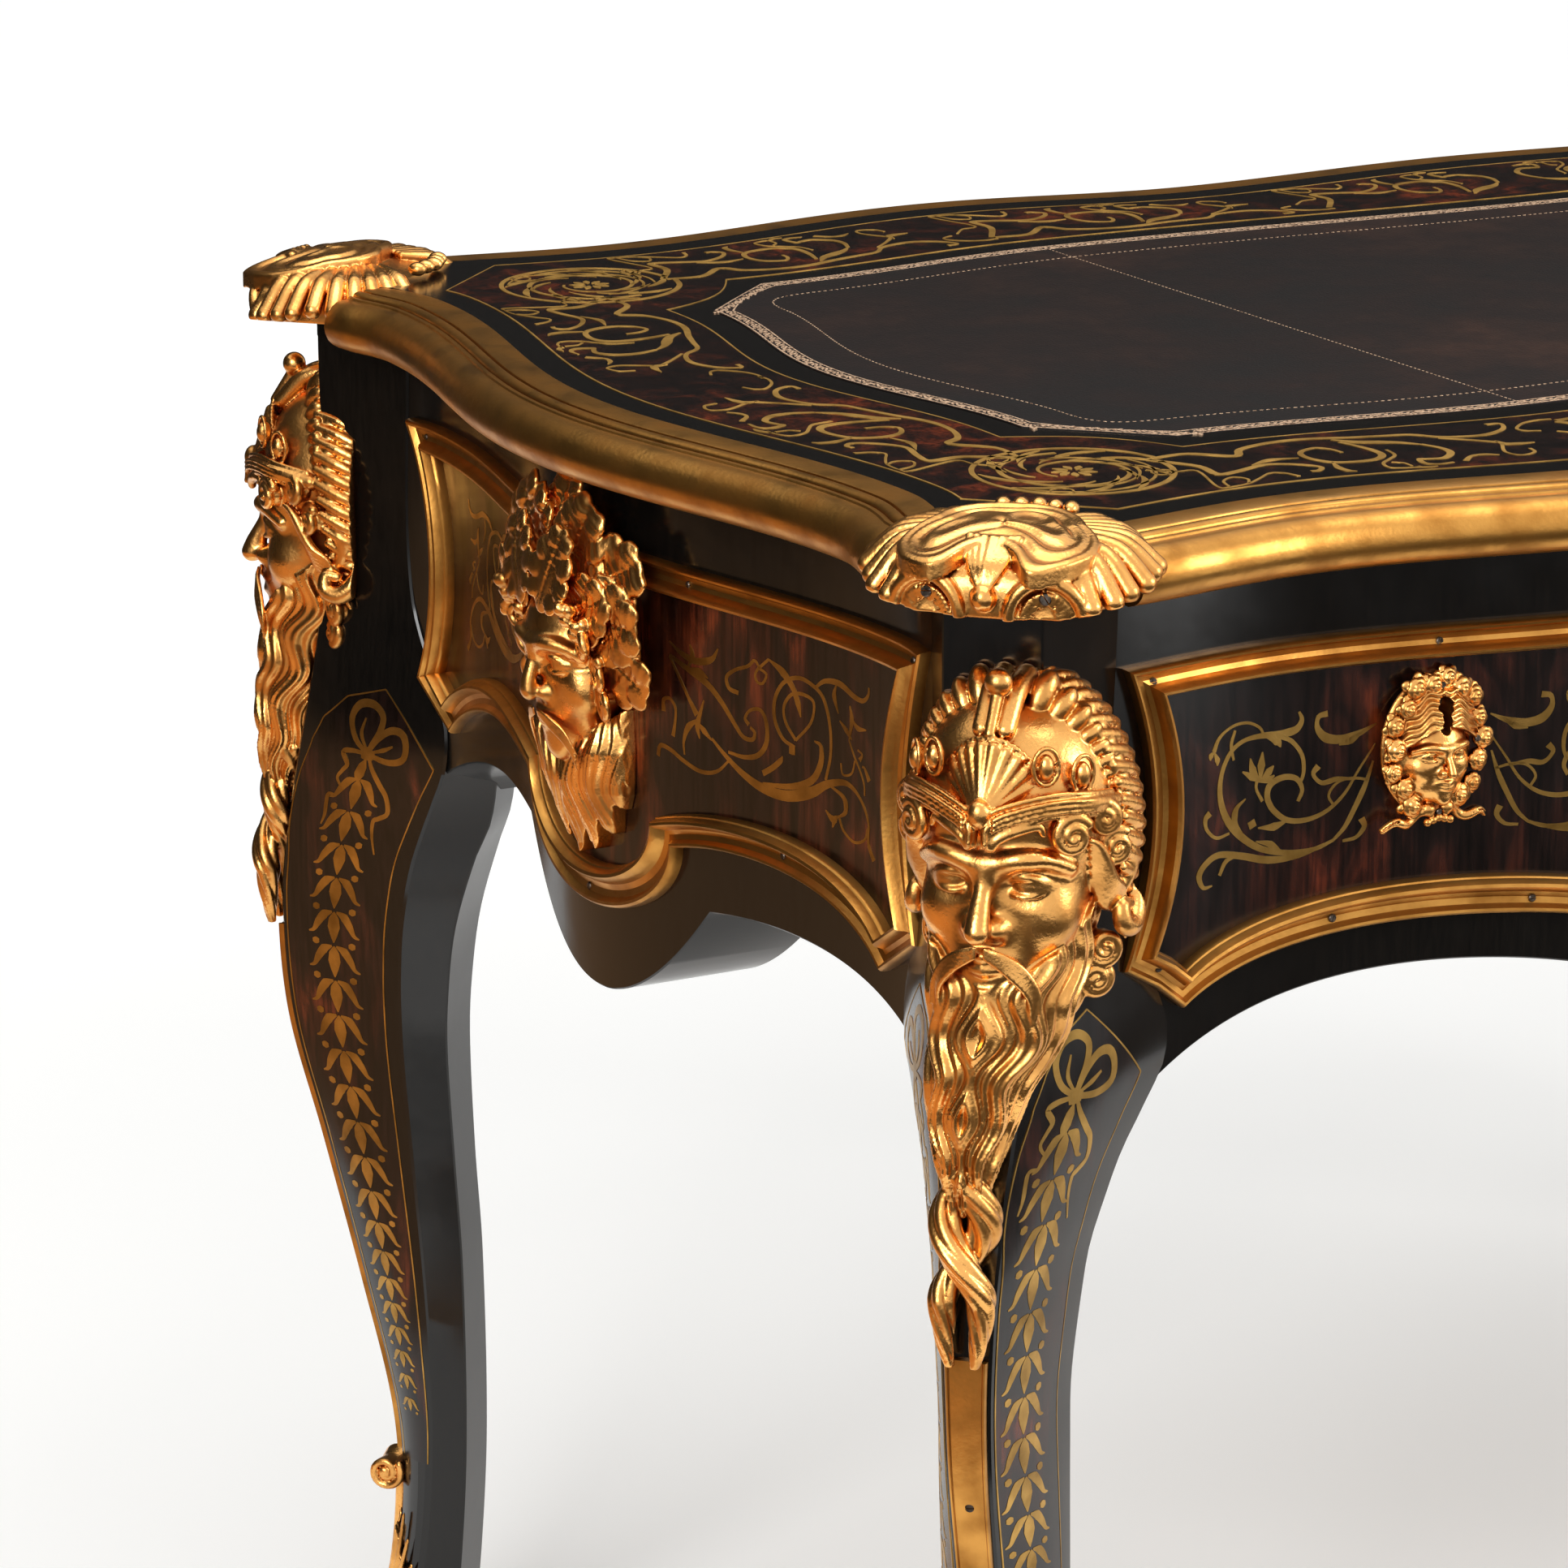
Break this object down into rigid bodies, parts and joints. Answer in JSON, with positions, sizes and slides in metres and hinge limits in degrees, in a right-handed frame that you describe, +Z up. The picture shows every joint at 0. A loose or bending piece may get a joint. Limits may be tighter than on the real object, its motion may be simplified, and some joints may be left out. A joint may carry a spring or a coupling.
{
  "type": "writing table",
  "caption": "Serpentine ebonised writing table on cabriole legs, with sliding frieze drawers, a leather-lined top, brass-inlaid fronts and gilt-bronze mounts.",
  "frame": {"origin": "on the floor, under the middle of the table", "axes": "+X along the length, -Y toward the sitter at the drawer front, +Z up"},
  "size_m": [1.5262, 0.7894, 0.795],
  "materials": {
    "ebonised_wood": "black French polish, gloss",
    "tortoiseshell_marquetry": "tortoiseshell veneer with brass inlay, polished",
    "gilt_bronze": "chased and gilded",
    "dull_brass": "satin",
    "brown_leather": "waxed, gold-tooled",
    "oak": "bare, matt",
    "steel": "plain"
  },
  "bodies": {
    "root": {"leg_front_left": "ebonised_wood", "leg_front_right": "ebonised_wood", "leg_back_right": "ebonised_wood", "leg_back_left": "ebonised_wood", "leg_strip_front_left": "gilt_bronze", "leg_strip_front_right": "gilt_bronze", "leg_strip_back_right": "gilt_bronze", "leg_strip_back_left": "gilt_bronze", "sabot_front_left": "gilt_bronze", "sabot_front_right": "gilt_bronze", "sabot_back_right": "gilt_bronze", "sabot_back_left": "gilt_bronze", "corner_mask_front_left": "gilt_bronze", "corner_mask_front_right": "gilt_bronze", "corner_mask_back_right": "gilt_bronze", "corner_mask_back_left": "gilt_bronze", "corner_clasp_front_left": "gilt_bronze", "corner_clasp_front_right": "gilt_bronze", "corner_clasp_back_right": "gilt_bronze", "corner_clasp_back_left": "gilt_bronze", "front_frieze": "ebonised_wood", "back_frieze": "ebonised_wood", "left_frieze": "ebonised_wood", "right_frieze": "ebonised_wood", "back_left_frame": "gilt_bronze", "back_middle_frame": "gilt_bronze", "back_right_frame": "gilt_bronze", "left_end_frame": "gilt_bronze", "right_end_frame": "gilt_bronze", "left_end_mask": "gilt_bronze", "right_end_mask": "gilt_bronze", "dust_board": "oak", "top_panel": "ebonised_wood", "leather": "brown_leather", "top_edge_front": "dull_brass", "top_edge_back": "dull_brass", "top_edge_left": "dull_brass", "top_edge_right": "dull_brass"},
    "drawer_left": {"drawer_left_front": "tortoiseshell_marquetry", "drawer_left_box": "oak", "drawer_left_bottom": "oak", "drawer_left_frame": "gilt_bronze", "drawer_left_escutcheon": "gilt_bronze", "drawer_left_lock": "steel"},
    "drawer_middle": {"drawer_middle_front": "tortoiseshell_marquetry", "drawer_middle_box": "oak", "drawer_middle_bottom": "oak", "drawer_middle_frame": "gilt_bronze", "drawer_middle_escutcheon": "gilt_bronze", "drawer_middle_lock": "steel"},
    "drawer_right": {"drawer_right_front": "tortoiseshell_marquetry", "drawer_right_box": "oak", "drawer_right_bottom": "oak", "drawer_right_frame": "gilt_bronze", "drawer_right_escutcheon": "gilt_bronze", "drawer_right_lock": "steel"},
    "bolt_left": {"drawer_left_bolt": "dull_brass"},
    "bolt_middle": {"drawer_middle_bolt": "dull_brass"},
    "bolt_right": {"drawer_right_bolt": "dull_brass"}
  },
  "joints": [
    {"name": "drawer_left_slide", "type": "slide", "parent": "root", "child": "drawer_left", "axis": [0, -1, 0], "range_m": [0, 0.3]},
    {"name": "drawer_middle_slide", "type": "slide", "parent": "root", "child": "drawer_middle", "axis": [0, -1, 0], "range_m": [0, 0.3]},
    {"name": "drawer_right_slide", "type": "slide", "parent": "root", "child": "drawer_right", "axis": [0, -1, 0], "range_m": [0, 0.3]},
    {"name": "bolt_left_throw", "type": "slide", "parent": "drawer_left", "child": "bolt_left", "axis": [0, 0, 1], "range_m": [0, 0.008]},
    {"name": "bolt_middle_throw", "type": "slide", "parent": "drawer_middle", "child": "bolt_middle", "axis": [0, 0, 1], "range_m": [0, 0.008]},
    {"name": "bolt_right_throw", "type": "slide", "parent": "drawer_right", "child": "bolt_right", "axis": [0, 0, 1], "range_m": [0, 0.008]}
  ]
}
